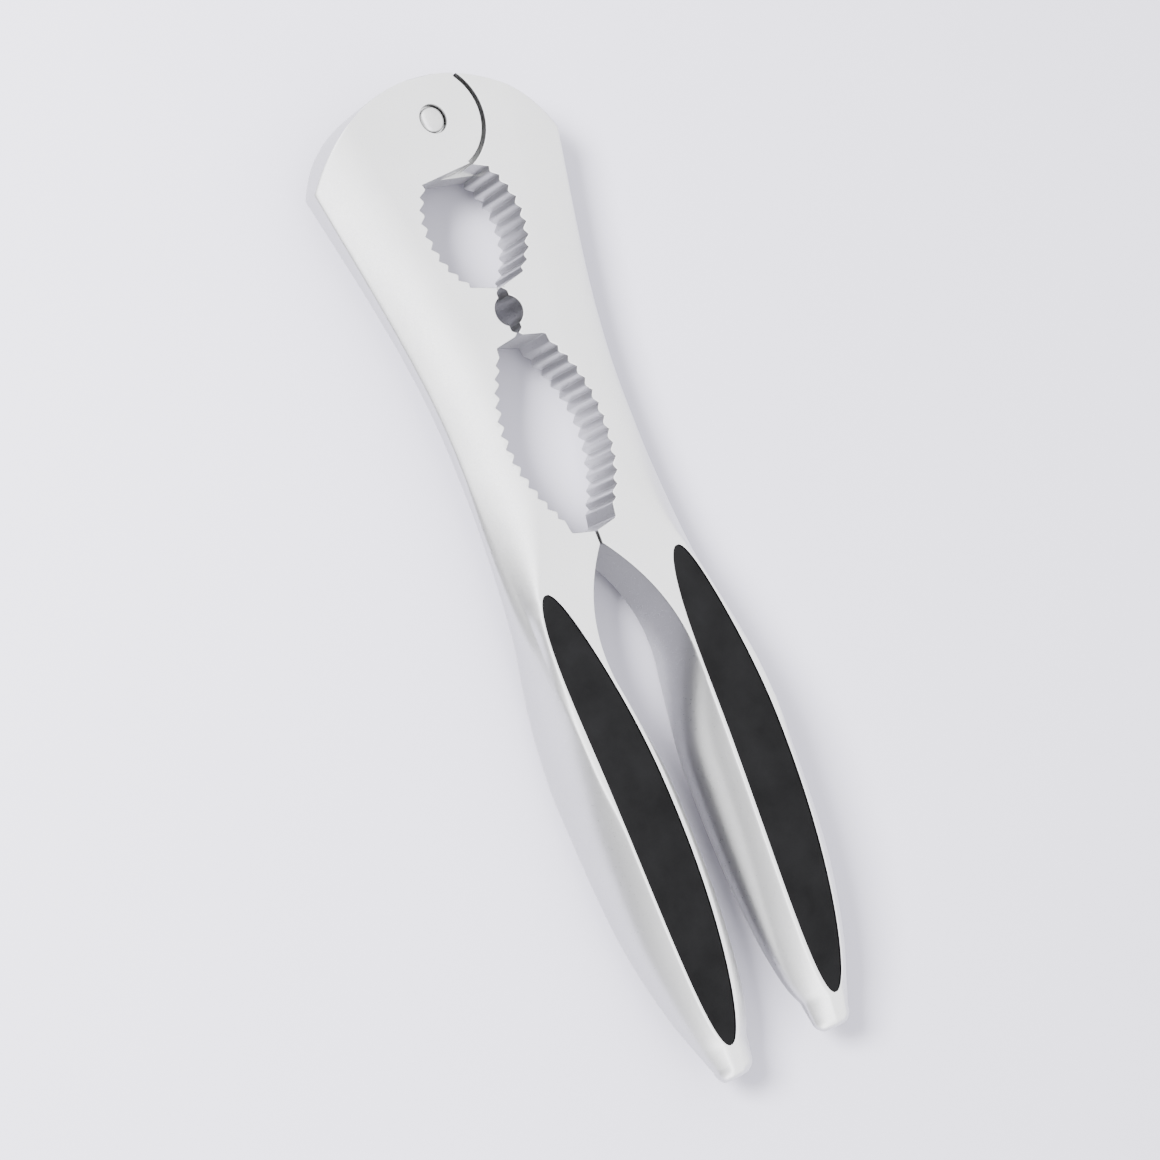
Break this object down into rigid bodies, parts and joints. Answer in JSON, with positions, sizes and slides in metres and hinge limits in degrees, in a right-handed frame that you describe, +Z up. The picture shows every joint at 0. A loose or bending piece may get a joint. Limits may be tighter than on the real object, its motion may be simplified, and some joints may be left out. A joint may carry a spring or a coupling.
{
  "type": "nutcracker",
  "caption": "Hand nutcracker: cast levers that cross in a half-lap joint on a rivet, toothed oval bites for large and small nuts, barrel handles with soft grip inlays.",
  "frame": {"origin": "centre of the closed tool's footprint, on the plane its handle bellies lie on", "axes": "+Z up out of the upper face, +Y along the tool towards the pivot, +X towards the lever whose knuckle is underneath"},
  "size_m": [0.0584, 0.2017, 0.0184],
  "materials": {
    "cast_metal": "die-cast, satin silver",
    "soft_grip": "matte moulded thermoplastic rubber",
    "rivet_steel": "bright domed rivet",
    "washer_nylon": "plain nylon"
  },
  "bodies": {
    "right_half": {"right_lever": "cast_metal", "right_top_grip": "soft_grip", "right_bottom_grip": "soft_grip", "rivet_stud": "rivet_steel", "rivet_sleeve": "rivet_steel", "pivot_washer": "washer_nylon"},
    "left_half": {"left_lever": "cast_metal", "left_top_grip": "soft_grip", "left_bottom_grip": "soft_grip"}
  },
  "joints": [
    {"name": "pivot", "type": "hinge", "parent": "right_half", "child": "left_half", "pos_m": [0, 0.09215, 0.0092], "axis": [0, 0, -1], "range_deg": [0, 90]}
  ]
}
